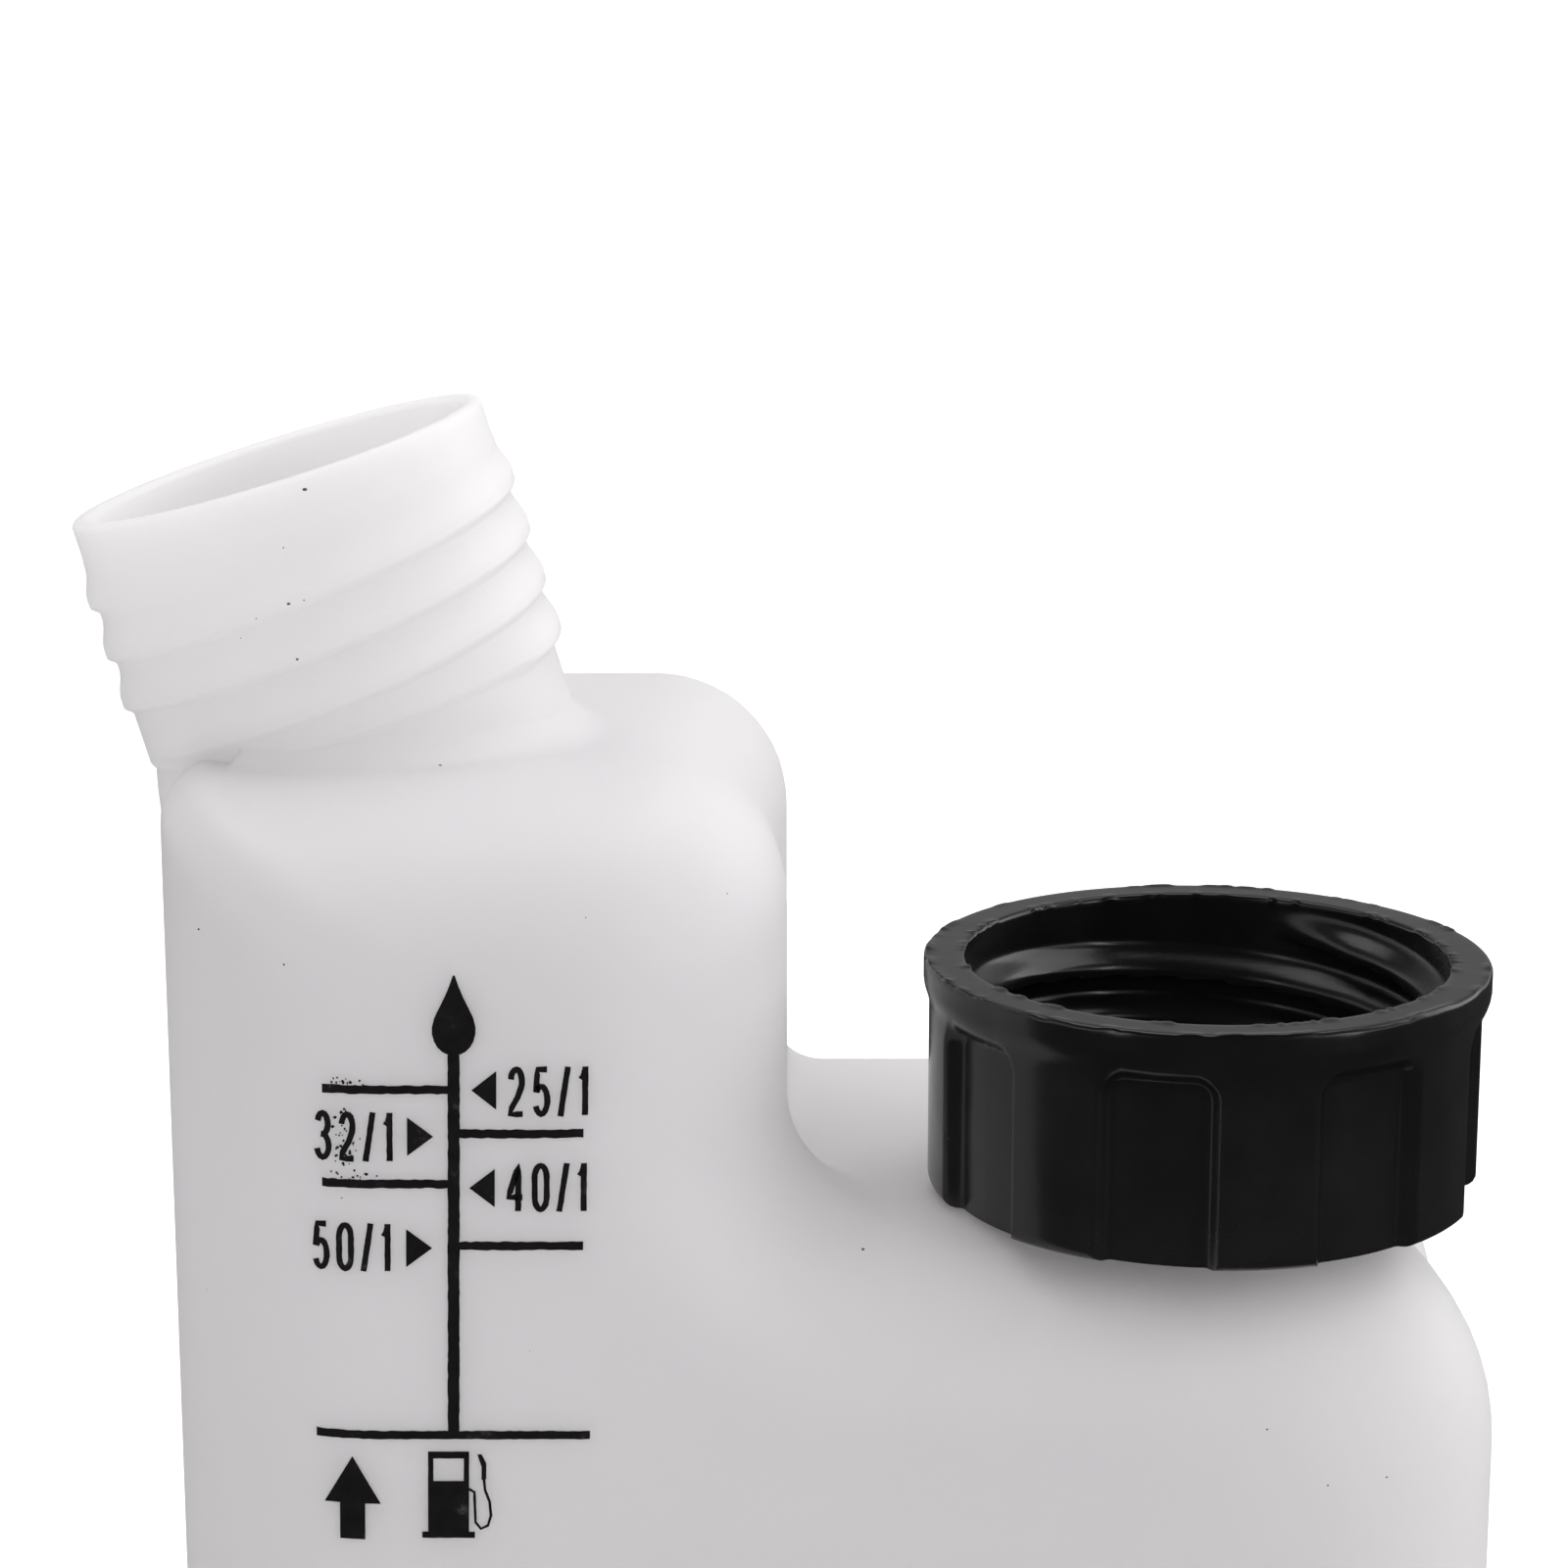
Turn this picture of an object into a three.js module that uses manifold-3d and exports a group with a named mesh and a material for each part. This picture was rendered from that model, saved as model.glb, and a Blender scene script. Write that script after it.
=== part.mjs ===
// A mixing bottle for two-stroke fuel, in millimetres, +Z up, seen from the front along +Y.
// The blow-moulded bottle is stepped: a tall column with a tilted, threaded neck stands on the
// left, and a lower shoulder lies on the right. Its moulded screw cap is taken off and stands
// upside down on that shoulder, with its sealing disc in it.
import * as THREE from "three";
import { mergeVertices } from "three/addons/utils/BufferGeometryUtils.js";
import Module from "manifold-3d";

const wasm = await Module();
wasm.setup();

// Bottle body
const bodyWidth = 116.9;
const bodyDepth = 78;
const columnWidth = 54.25;
const columnHeight = 178.8;
const shoulderHeight = 139.8;
const wallThickness = 1.5;

// Roundings between the flat front and back panels and the side walls
const roundDepth = 20;
const sideRoundWidth = 20;
const topRoundHeight = 13;
const panelSink = 0.9;

// Corner radii of the stepped outline, where the walls are widest and on the front and back panels.
// The bend between column and shoulder is rounder at the front ridge than behind it.
const neckCornerRadius = 4;
const columnCornerRadius = 12;
const columnPanelRadius = 6;
const shoulderCornerRadius = 21;
const shoulderPanelRadius = 20;
const bendFrontRadius = 10;
const bendBackRadius = 3;
const bendPanelRadius = 30;

// Base
const baseRound = 8;
const standingRingWidth = 7;
const pushUpHeight = 2.5;
const pushUpRun = 5;

// Neck: its rim is tilted to the left and its thread has ridges that wind up in parallel
const neckTilt = THREE.MathUtils.degToRad(16.5);
const neckRimInset = 8.7;
const neckRimRise = 24;
const neckRadius = 18.7;
const neckBoreRadius = 17;
const rimRadius = 19;
const rimHeight = 3.6;
const rimEdge = 0.4;
const neckFillet = 3;

// Screw thread, shared by neck and cap
const threadPitch = 4.7;
const threadStarts = 2;
const threadLean = 0.6;
const neckThreadRoot = 19.1;
const neckThreadHeight = 0.85;
const neckThreadFoot = 3.8;
const neckThreadCrest = 1;
const neckThreadTop = 4.2;
const neckThreadBottom = 22.4;
const neckRidgeLevel = -20.7;
const neckRidgeTurns = [
  [-40, 580],
  [20, 580],
];

// Cap
const capRimRadius = 24.9;
const capRimHeight = 3.6;
const capHeight = 20.8;
const capSkirtRadius = 24.4;
const capTopThickness = 2.2;
const capEdgeRadius = 2;
const capFromRight = 25.7;
const capForward = 14.1;
const capTurn = THREE.MathUtils.degToRad(-15);
const capWallClearance = 1.3;
const capThreadClearance = 0.25;
const capThreadFoot = 3;
const capThreadCrest = 0.9;
const capRidgeLevel = 7.4;
const capRidgeTurns = [
  [0, 430],
  [0, 430],
];

// Grip panels sunk into the cap's skirt
const gripCount = 8;
const gripAngle = THREE.MathUtils.degToRad(20);
const gripDepth = 1.35;
const gripBevel = 0.8;
const gripCornerRadius = 1.2;

// Sealing disc
const sealRadius = 20.4;
const sealThickness = 1.5;
const sealEdge = 0.3;

const restGap = 0.2;

// Fineness of the curved surfaces
const cornerSteps = 6;
const roundSteps = 6;
const sinkSteps = 3;
const neckSides = 48;
const capSides = 64;
const threadStepAngle = Math.PI / 20;
const gripSteps = 6;
const gripCornerSteps = 3;

const mergeDistance = 1e-4;

// Walls of the body
const left = -bodyWidth / 2;
const right = bodyWidth / 2;
const step = left + columnWidth;

// A closed geometry as a solid that can be joined and cut.
function solidFrom(geometry) {
  const bare = geometry.clone();
  bare.deleteAttribute("normal");
  bare.deleteAttribute("uv");
  const merged = mergeVertices(bare, mergeDistance);
  const index = merged.index.array;
  const triangles = [];
  for (let i = 0; i < index.length; i += 3) {
    const [a, b, c] = index.slice(i, i + 3);
    if (a !== b && b !== c && c !== a) triangles.push(a, b, c);
  }
  const mesh = new wasm.Mesh({
    numProp: 3,
    vertProperties: merged.attributes.position.array,
    triVerts: new Uint32Array(triangles),
  });
  return new wasm.Manifold(mesh);
}

// A solid back as a geometry with flat normals.
function geometryFrom(solid) {
  const mesh = solid.getMesh();
  const indexed = new THREE.BufferGeometry();
  indexed.setAttribute("position", new THREE.BufferAttribute(mesh.vertProperties, mesh.numProp));
  indexed.setIndex(new THREE.BufferAttribute(mesh.triVerts, 1));
  const geometry = indexed.toNonIndexed();
  geometry.computeVertexNormals();
  return geometry;
}

// Joins outlines that have equally many points into one closed surface. place(point, level) puts
// an outline's point in space, and the outlines run anticlockwise seen from the last one's end.
function loft(outlines, place) {
  const count = outlines[0].length;
  const last = outlines.length - 1;
  const positions = outlines.flatMap((outline, level) =>
    outline.flatMap((point) => place(point, level).toArray()),
  );
  const index = [];
  for (let level = 0; level < last; level++) {
    for (let i = 0; i < count; i++) {
      const a = level * count + i;
      const b = level * count + ((i + 1) % count);
      index.push(a, b, a + count, b, b + count, a + count);
    }
  }
  for (const [a, b, c] of THREE.ShapeUtils.triangulateShape(outlines[0], [])) {
    index.push(a, c, b);
  }
  for (const [a, b, c] of THREE.ShapeUtils.triangulateShape(outlines[last], [])) {
    index.push(last * count + a, last * count + b, last * count + c);
  }
  const geometry = new THREE.BufferGeometry();
  geometry.setAttribute("position", new THREE.Float32BufferAttribute(positions, 3));
  geometry.setIndex(index);
  return solidFrom(geometry);
}

// A polygon with each corner rounded to its own radius.
function roundedPolygon(corners, radii, steps) {
  const points = [];
  corners.forEach((corner, i) => {
    const before = corners[(i + corners.length - 1) % corners.length];
    const after = corners[(i + 1) % corners.length];
    const toBefore = before.clone().sub(corner).normalize();
    const toAfter = after.clone().sub(corner).normalize();
    const half = Math.acos(toBefore.dot(toAfter)) / 2;
    const middle = toBefore.clone().add(toAfter).normalize();
    const centre = corner.clone().addScaledVector(middle, radii[i] / Math.sin(half));
    const reach = radii[i] / Math.tan(half);
    const start = corner.clone().addScaledVector(toBefore, reach).sub(centre);
    const end = corner.clone().addScaledVector(toAfter, reach).sub(centre);
    const sweep = Math.atan2(start.cross(end), start.dot(end));
    for (let k = 0; k <= steps; k++) {
      const origin = new THREE.Vector2();
      points.push(start.clone().rotateAround(origin, (sweep * k) / steps).add(centre));
    }
  });
  return points;
}

// The stepped outline of the body at one depth. flare runs from 0 on the flat panel to 1 where
// the body is widest, sunk is how far the walls are drawn in there, bend is the widest outline's
// bend radius, and inset is the distance of this skin from the outer one. Its points hold z
// first, then x.
function bodyOutline({ flare, sunk, bend, base }, inset) {
  const side = inset + (sideRoundWidth - inset) * (1 - flare) + sunk;
  const top = inset + (topRoundHeight - inset) * (1 - flare) + sunk;
  const blend = THREE.MathUtils.lerp;
  const corners = [
    new THREE.Vector2(base, left + side),
    new THREE.Vector2(columnHeight - top, left + side),
    new THREE.Vector2(columnHeight - top, step - side),
    new THREE.Vector2(shoulderHeight - top, step - side),
    new THREE.Vector2(shoulderHeight - top, right - side),
    new THREE.Vector2(base, right - side),
  ];
  const radii = [
    baseRound - inset,
    blend(columnPanelRadius, neckCornerRadius - inset, flare),
    blend(columnPanelRadius, columnCornerRadius - inset, flare),
    blend(bendPanelRadius, bend + inset, flare),
    blend(shoulderPanelRadius, shoulderCornerRadius - inset, flare),
    baseRound - inset,
  ];
  return roundedPolygon(corners, radii, cornerSteps);
}

// The height of the rounded base edge at one depth.
function baseLevel(depth, inset) {
  const radius = baseRound - inset;
  const over = Math.max(0, depth - (bodyDepth / 2 - baseRound));
  return baseRound - Math.sqrt(Math.max(0, radius * radius - over * over));
}

// What the outline is at each depth, from the front or back panel (side -1 or 1) to the middle.
function depthLevels(side, inset) {
  const ridge = bodyDepth / 2 - roundDepth;
  const bend = side < 0 ? bendFrontRadius : bendBackRadius;
  const levels = [];
  for (let k = 0; k <= roundSteps; k++) {
    const angle = ((Math.PI / 2) * k) / roundSteps;
    const depth = ridge + (roundDepth - inset) * Math.cos(angle);
    const base = baseLevel(depth, inset);
    levels.push({ y: side * depth, flare: Math.sin(angle), sunk: 0, bend, base });
  }
  for (let k = 1; k <= sinkSteps; k++) {
    const share = k / sinkSteps;
    const ease = (1 - Math.cos(Math.PI * share)) / 2;
    levels.push({
      y: side * ridge * (1 - share),
      flare: 1,
      sunk: panelSink * ease,
      bend: THREE.MathUtils.lerp(bend, bendBackRadius, ease),
      base: baseLevel(ridge, inset),
    });
  }
  return levels;
}

// The body's skin at a distance inside its outer surface, as a solid.
function bodySkin(inset) {
  const front = depthLevels(-1, inset);
  const back = depthLevels(1, inset).slice(0, -1).reverse();
  const levels = [...front, ...back];
  const outlines = levels.map((level) => bodyOutline(level, inset));
  return loft(outlines, (point, level) => new THREE.Vector3(point.y, levels[level].y, point.x));
}

// The panel of the base that is pushed up inside the standing ring. grow widens it on all sides.
function pushUp(bottom, top, grow) {
  const plan = (inset) => {
    const x = bodyWidth / 2 - inset;
    const y = bodyDepth / 2 - inset;
    const corners = [
      new THREE.Vector2(-x, -y),
      new THREE.Vector2(x, -y),
      new THREE.Vector2(x, y),
      new THREE.Vector2(-x, y),
    ];
    return roundedPolygon(corners, corners.map(() => roundDepth - baseRound), cornerSteps);
  };
  const inset = baseRound + standingRingWidth - grow;
  const outlines = [plan(inset), plan(inset), plan(inset + pushUpRun)];
  const heights = [bottom - 1, bottom, top];
  return loft(outlines, (point, level) => new THREE.Vector3(point.x, point.y, heights[level]));
}

// A solid turned from a profile of radius and height pairs about the Z axis.
function turned(profile, sides) {
  const points = profile.map(([radius, height]) => new THREE.Vector2(radius, height));
  return solidFrom(new THREE.LatheGeometry(points, sides).rotateX(Math.PI / 2));
}

// A profile's quarter-round edge from one angle to another, in radians from the radial direction.
function edgeArc(radius, height, size, from, to) {
  const steps = 4;
  return Array.from({ length: steps + 1 }, (_, k) => {
    const angle = from + ((to - from) * k) / steps;
    return [radius + size * Math.cos(angle), height + size * Math.sin(angle)];
  });
}

// One ridge of a right-hand screw thread about Z, wound between two angles in degrees. It passes
// the level at angle 0. It is a trapezium whose foot is sunk into the wall and whose crest leans
// down, and it runs out into the wall at both ends.
function threadRidge({ wallRadius, height, foot, crest, level, turns, turned, inward }) {
  const [from, to] = turns.map(THREE.MathUtils.degToRad);
  const steps = Math.ceil((to - from) / threadStepAngle);
  const sign = inward ? -1 : 1;
  const sunkFoot = 0.6;
  const runOut = 4;
  const lowest = 0.15;
  const outlines = [];
  for (let k = 0; k <= steps; k++) {
    const fade = Math.max(lowest, Math.min(1, Math.min(k, steps - k) / runOut));
    const rise = height * fade;
    const lean = sign * threadLean * fade;
    const tip = crest / 2;
    outlines.push([
      new THREE.Vector2(-sunkFoot, -foot / 2),
      new THREE.Vector2(0, -foot / 2),
      new THREE.Vector2(rise, lean - tip),
      new THREE.Vector2(rise, lean + tip),
      new THREE.Vector2(0, foot / 2),
      new THREE.Vector2(-sunkFoot, foot / 2),
    ]);
  }
  const lead = threadPitch * threadStarts;
  const place = (point, k) => {
    const wound = THREE.MathUtils.lerp(from, to, k / steps);
    const angle = wound + turned;
    const radius = wallRadius + sign * point.x;
    const z = level + (lead * wound) / (2 * Math.PI) - sign * point.y;
    return new THREE.Vector3(radius * Math.cos(angle), radius * Math.sin(angle), z);
  };
  return loft(outlines, place);
}

// All ridges of a thread, each turned on from the one before by an equal share of a full turn.
function threadRidges(ridge, turnsOfRidges) {
  return turnsOfRidges.map((turns, start) =>
    threadRidge({ ...ridge, turns, turned: (2 * Math.PI * start) / threadStarts }),
  );
}

// Tilts and moves a solid from the neck's own axes, whose origin is the middle of the rim.
function placedOnNeck(solid) {
  const place = new THREE.Matrix4()
    .makeTranslation(left + neckRimInset, 0, columnHeight + neckRimRise)
    .multiply(new THREE.Matrix4().makeRotationY(-neckTilt));
  return solid.transform(place.elements);
}

// How far down its own axis a tube of the neck runs before it is all inside the body: past the
// column's top on the right, and past the left wall on the left.
function neckReach(radius) {
  const throughTop = neckRimRise / Math.cos(neckTilt) + radius * Math.tan(neckTilt);
  const throughWall = (radius * Math.cos(neckTilt) - neckRimInset) / Math.sin(neckTilt);
  return Math.max(throughTop, throughWall);
}

function neckOutside() {
  const reach = neckReach(neckRadius) + wallThickness;
  const profile = [
    [0, -reach],
    [neckRadius, -reach],
    [neckRadius, -neckThreadBottom - (neckThreadRoot - neckRadius)],
    [neckThreadRoot, -neckThreadBottom],
    [neckThreadRoot, -neckThreadTop],
    [rimRadius, -rimHeight],
    ...edgeArc(rimRadius - rimEdge, -rimEdge, rimEdge, 0, Math.PI / 2),
    [0, 0],
  ];
  const ridge = {
    wallRadius: neckThreadRoot,
    height: neckThreadHeight,
    foot: neckThreadFoot,
    crest: neckThreadCrest,
    level: neckRidgeLevel,
    inward: false,
  };
  const ridges = threadRidges(ridge, neckRidgeTurns);
  const neck = ridges.reduce((sum, one) => sum.add(one), turned(profile, neckSides));
  return placedOnNeck(neck);
}

function neckBore() {
  const sunkWall = wallThickness + panelSink;
  const reach = neckReach(neckBoreRadius) + sunkWall / Math.sin(neckTilt);
  const profile = [
    [0, -reach],
    [neckBoreRadius, -reach],
    [neckBoreRadius, 1],
    [0, 1],
  ];
  return placedOnNeck(turned(profile, neckSides));
}

// The fillet where the neck stands on the column. It fades out on the left, where the neck runs
// on into the left wall.
function neckRoot() {
  const tuck = 0.1;
  const levels = Array.from({ length: roundSteps + 1 }, (_, k) => (neckFillet * k) / roundSteps);
  const ellipse = (height) => {
    const fall = neckFillet - height;
    const spread = neckFillet - Math.sqrt(Math.max(0, neckFillet ** 2 - fall ** 2));
    const centre = left + neckRimInset + (neckRimRise - height) * Math.tan(neckTilt);
    return Array.from({ length: neckSides }, (_, i) => {
      const angle = (2 * Math.PI * i) / neckSides;
      const grow = (spread * (1 + Math.cos(angle))) / 2 - tuck;
      const x = centre + (neckRadius / Math.cos(neckTilt) + grow) * Math.cos(angle);
      return new THREE.Vector2(x, (neckRadius + grow) * Math.sin(angle));
    });
  };
  const outlines = [ellipse(0), ...levels.map(ellipse)];
  const heights = [-wallThickness, ...levels];
  const place = (point, level) => new THREE.Vector3(point.x, point.y, columnHeight + heights[level]);
  return loft(outlines, place);
}

// The bottle: one hollow blow-moulded shell, open at the neck.
function bottleSolid() {
  const outside = bodySkin(0).add(neckOutside()).add(neckRoot());
  const hollow = bodySkin(wallThickness)
    .subtract(pushUp(0, pushUpHeight + wallThickness, wallThickness))
    .add(neckBore());
  return outside.subtract(pushUp(0, pushUpHeight, 0)).subtract(hollow);
}

// The cap stands with its closed end at z = 0 and its open end up.
const capBore = neckThreadRoot + neckThreadHeight + capWallClearance;
const capThreadHeight = capBore - neckThreadRoot - capThreadClearance;

function capShell() {
  const rimStart = capHeight - capRimHeight;
  const profile = [
    [0, 0],
    ...edgeArc(capSkirtRadius - capEdgeRadius, capEdgeRadius, capEdgeRadius, -Math.PI / 2, 0),
    [capSkirtRadius, rimStart],
    [capRimRadius, rimStart + (capRimRadius - capSkirtRadius)],
    ...edgeArc(capRimRadius - rimEdge, capHeight - rimEdge, rimEdge, 0, Math.PI / 2),
    [capBore + rimEdge, capHeight],
    [capBore, capHeight - rimEdge],
    [capBore, capTopThickness],
    [0, capTopThickness],
  ];
  return turned(profile, capSides);
}

// One grip panel's cutter, bent round the skirt and bevelled at its edges. It starts under the
// rim and runs out through the closed end. Its outline holds the distance round the skirt, then z.
function gripCutter(turn) {
  const overrun = 1;
  const panel = (grow) => {
    const reach = (gripAngle * capSkirtRadius) / 2 + grow;
    const top = capHeight - capRimHeight - gripBevel + grow;
    const radius = gripCornerRadius + grow;
    const flat = reach - radius;
    const points = [];
    for (let k = 0; k <= gripSteps; k++) {
      points.push(new THREE.Vector2(reach * ((2 * k) / gripSteps - 1), -overrun));
    }
    for (const side of [1, -1]) {
      for (let k = 0; k <= gripCornerSteps; k++) {
        const share = side > 0 ? k : gripCornerSteps - k;
        const angle = ((Math.PI / 2) * share) / gripCornerSteps;
        const x = side * (flat + radius * Math.cos(angle));
        points.push(new THREE.Vector2(x, top - radius + radius * Math.sin(angle)));
      }
      for (let k = 1; side > 0 && k < gripSteps; k++) {
        points.push(new THREE.Vector2(flat * (1 - (2 * k) / gripSteps), top));
      }
    }
    return points;
  };
  const outlines = [panel(0), panel(gripBevel), panel(gripBevel)];
  const radii = [capSkirtRadius - gripDepth, capSkirtRadius, capRimRadius + overrun];
  const place = (point, level) => {
    const angle = turn - Math.PI / 2 + point.x / capSkirtRadius;
    const radius = radii[level];
    return new THREE.Vector3(radius * Math.cos(angle), radius * Math.sin(angle), point.y);
  };
  return loft(outlines, place);
}

// The cap: a skirt with sunk grip panels outside and the mating thread inside.
function capSolid() {
  let cap = capShell();
  for (let grip = 0; grip < gripCount; grip++) {
    cap = cap.subtract(gripCutter(capTurn + (2 * Math.PI * grip) / gripCount));
  }
  const ridge = {
    wallRadius: capBore,
    height: capThreadHeight,
    foot: capThreadFoot,
    crest: capThreadCrest,
    level: capRidgeLevel,
    inward: true,
  };
  return threadRidges(ridge, capRidgeTurns).reduce((sum, one) => sum.add(one), cap);
}

// The sealing disc lies on the inside of the cap's closed end.
function sealSolid() {
  const bottom = capTopThickness + restGap;
  const profile = [
    [0, bottom],
    [sealRadius - sealEdge, bottom],
    [sealRadius, bottom + sealEdge],
    [sealRadius, bottom + sealThickness - sealEdge],
    [sealRadius - sealEdge, bottom + sealThickness],
    [0, bottom + sealThickness],
  ];
  return turned(profile, capSides);
}

function namedMesh(name, solid, color, roughness) {
  const material = new THREE.MeshStandardMaterial({ color, roughness, metalness: 0 });
  const mesh = new THREE.Mesh(geometryFrom(solid), material);
  mesh.name = name;
  return mesh;
}

const closure = new THREE.Group();
closure.position.set(right - capFromRight, -capForward, shoulderHeight + restGap);
closure.add(
  namedMesh("cap", capSolid(), 0x0d0d0e, 0.35),
  namedMesh("cap_seal", sealSolid(), 0x2b2b2d, 0.7),
);

const bottle = new THREE.Group();
bottle.add(namedMesh("bottle", bottleSolid(), 0xeceaea, 0.45), closure);

// The origin is under the middle of the whole object, at the height that it stands on.
const extent = new THREE.Box3().setFromObject(bottle);
bottle.position.x = -(extent.min.x + extent.max.x) / 2;

const part = new THREE.Group();
part.add(bottle);

export default part;
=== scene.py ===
import math

import bmesh
import bpy
import numpy as np
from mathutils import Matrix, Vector
from mathutils.bvhtree import BVHTree


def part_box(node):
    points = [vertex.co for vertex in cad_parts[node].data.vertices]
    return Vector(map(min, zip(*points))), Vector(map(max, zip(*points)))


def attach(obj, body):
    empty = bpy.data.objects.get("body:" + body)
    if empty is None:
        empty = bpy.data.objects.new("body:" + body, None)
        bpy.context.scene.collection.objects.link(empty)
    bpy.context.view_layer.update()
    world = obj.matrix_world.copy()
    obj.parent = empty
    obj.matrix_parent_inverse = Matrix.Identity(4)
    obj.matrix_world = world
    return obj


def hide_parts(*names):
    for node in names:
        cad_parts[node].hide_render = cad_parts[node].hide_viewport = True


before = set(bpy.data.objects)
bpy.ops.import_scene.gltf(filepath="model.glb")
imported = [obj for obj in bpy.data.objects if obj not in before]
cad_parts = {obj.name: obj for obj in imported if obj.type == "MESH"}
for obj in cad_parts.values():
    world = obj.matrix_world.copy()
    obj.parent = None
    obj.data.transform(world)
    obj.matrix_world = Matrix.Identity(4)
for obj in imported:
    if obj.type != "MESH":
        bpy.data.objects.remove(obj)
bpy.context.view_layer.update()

# The fuel mixing bottle's looks. Everything is made in millimetres in the part's own frame and
# turned to metres when a mesh is stored. Front is -Y, and the object stands on z = 0.

MM = 0.001

# Bottle body
BODY_WIDTH = 116.9
BODY_DEPTH = 78.0
LEFT_TRIM = 0.5
COLUMN_WIDTH = 54.25
COLUMN_HEIGHT = 178.8
SHOULDER_HEIGHT = 139.8
WALL = 1.5
ROUND_DEPTH = 20.0
SIDE_ROUND_WIDTH = 20.0
TOP_ROUND_HEIGHT = 13.0
PANEL_SINK = 0.9

# Corner radii of the stepped outline, on the panels and where the walls are widest
NECK_CORNER_RADIUS = 4.0
COLUMN_CORNER_RADIUS = 12.0
COLUMN_PANEL_RADIUS = 6.0
SHOULDER_CORNER_RADIUS = 21.0
SHOULDER_PANEL_RADIUS = 20.0
BEND_FRONT_RADIUS = 10.0
BEND_BACK_RADIUS = 3.0
BEND_PANEL_RADIUS = 30.0

# Base
BASE_ROUND = 8.0
STANDING_RING_WIDTH = 7.0
PUSH_UP_HEIGHT = 2.5
PUSH_UP_RUN = 5.0
PUSH_UP_STEPS = 8

# Neck and its thread
NECK_TILT = math.radians(16.5)
NECK_RIM_INSET = 8.2
NECK_RIM_RISE = 24.0
NECK_RADIUS = 18.7
NECK_BORE_RADIUS = 17.0
NECK_MOUTH_ROUND = 0.7
RIM_RADIUS = 19.0
RIM_EDGE = 0.5
RIM_HEIGHT = 3.6
THREAD_PITCH = 4.7
THREAD_STARTS = 2
THREAD_LEAN = 1.0
THREAD_RUN_OUT_DEGREES = 30.0
NECK_THREAD_ROOT = 19.1
NECK_THREAD_HEIGHT = 0.7
NECK_THREAD_FOOT = 4.2
NECK_THREAD_CREST = 0.7
NECK_THREAD_TOP = 4.2
NECK_THREAD_BOTTOM = 22.4
NECK_RIDGE_LEVEL = -20.7
NECK_RIDGE_TURNS = ((-40, 580), (20, 580))
ROOT_RADIUS = 3.2
ROOT_DROP_LEFT = 27.0
ROOT_SPREAD_LEFT = 1.15
ROOT_BELOW_THREAD = 0.4
ROOT_START = -10.0
ROOT_LEFT_FROM = 0.25
ROOT_LEFT_OVER = 0.6
ROOT_PULL = 1.15
ROOT_OVERLAP = 0.04
ROOT_CLOSING_DROP = 1.2
ROOT_STEPS = 20

# Cap, upside down on the shoulder
CAP_RIM_RADIUS = 24.9
CAP_RIM_HEIGHT = 3.6
CAP_HEIGHT = 20.8
CAP_SKIRT_RADIUS = 24.4
CAP_TOP_THICKNESS = 2.2
CAP_EDGE_RADIUS = 1.0
CAP_RIM_EDGE = 0.45
CAP_BORE_EDGE = 0.35
CAP_FLOOR_EDGE = 0.4
CAP_LIP_DROP = 0.6
CAP_LIP_RISE = 2.2
CAP_TURN = math.radians(-15)
CAP_BORE = 21.25
CAP_THREAD_HEIGHT = 1.9
CAP_THREAD_FOOT = 3.2
CAP_THREAD_CREST = 0.7
CAP_RIDGE_LEVEL = 7.4
CAP_RIDGE_TURNS = ((0, 430), (0, 430))
GRIP_COUNT = 8
GRIP_ANGLE = math.radians(20)
GRIP_DEPTH = 1.5
GRIP_BEVEL = 1.3
GRIP_CORNER_RADIUS = 1.2

# Places taken from the frame
bottle_low, bottle_high = (np.array(corner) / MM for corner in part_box("bottle"))
cap_low, cap_high = (np.array(corner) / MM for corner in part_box("cap"))
seal_low, seal_high = (np.array(corner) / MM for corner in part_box("cap_seal"))
RIGHT = bottle_high[0]
LEFT = RIGHT - BODY_WIDTH + LEFT_TRIM
STEP = LEFT + COLUMN_WIDTH - LEFT_TRIM
CAP_AXIS = (cap_low[:2] + cap_high[:2]) / 2
CAP_FLOOR = cap_low[2]

# Camera
FRAME_PIXELS = 1600
FOCAL_PIXELS = 4090
SENSOR_MM = 36
CAMERA_PITCH = math.radians(13.1)
CAMERA_DISTANCE = 364.0
CAMERA_AIM = (0.24, 0.0, 173.0)


def smooth(t):
    """Eases from 0 to 1 with level ends."""
    t = np.clip(t, 0.0, 1.0)
    return t * t * (3 - 2 * t)


def lerp(a, b, t):
    return a + (b - a) * t


def add_object(name, data):
    made = bpy.data.objects.new(name, data)
    bpy.context.scene.collection.objects.link(made)
    return made


def add_mesh(name, points, faces, smooth_angle=40):
    """A mesh object from points in millimetres, smooth up to an angle between faces."""
    mesh = bpy.data.meshes.new(name)
    mesh.from_pydata([tuple(p) for p in np.asarray(points) * MM], [], faces)
    mesh.validate()
    piece = add_object(name, mesh)
    shade(piece, smooth_angle)
    return piece


def add_worked(name, work):
    """A mesh object from a finished bmesh, which is used up."""
    mesh = bpy.data.meshes.new(name)
    work.to_mesh(mesh)
    work.free()
    return add_object(name, mesh)


def shade(piece, smooth_angle):
    """Smooth shading, but sharp along edges where faces turn by more than an angle."""
    mesh = piece.data
    mesh.polygons.foreach_set("use_smooth", [True] * len(mesh.polygons))
    mesh.set_sharp_from_angle(angle=math.radians(smooth_angle))


def ring_faces(rings, count):
    """Quads between rings of equal length, and one face over each end."""
    faces = []
    for r in range(rings - 1):
        for i in range(count):
            a = r * count + i
            b = r * count + (i + 1) % count
            faces.append((a, b, b + count, a + count))
    faces.append(tuple(reversed(range(count))))
    faces.append(tuple(range((rings - 1) * count, rings * count)))
    return faces


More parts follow.
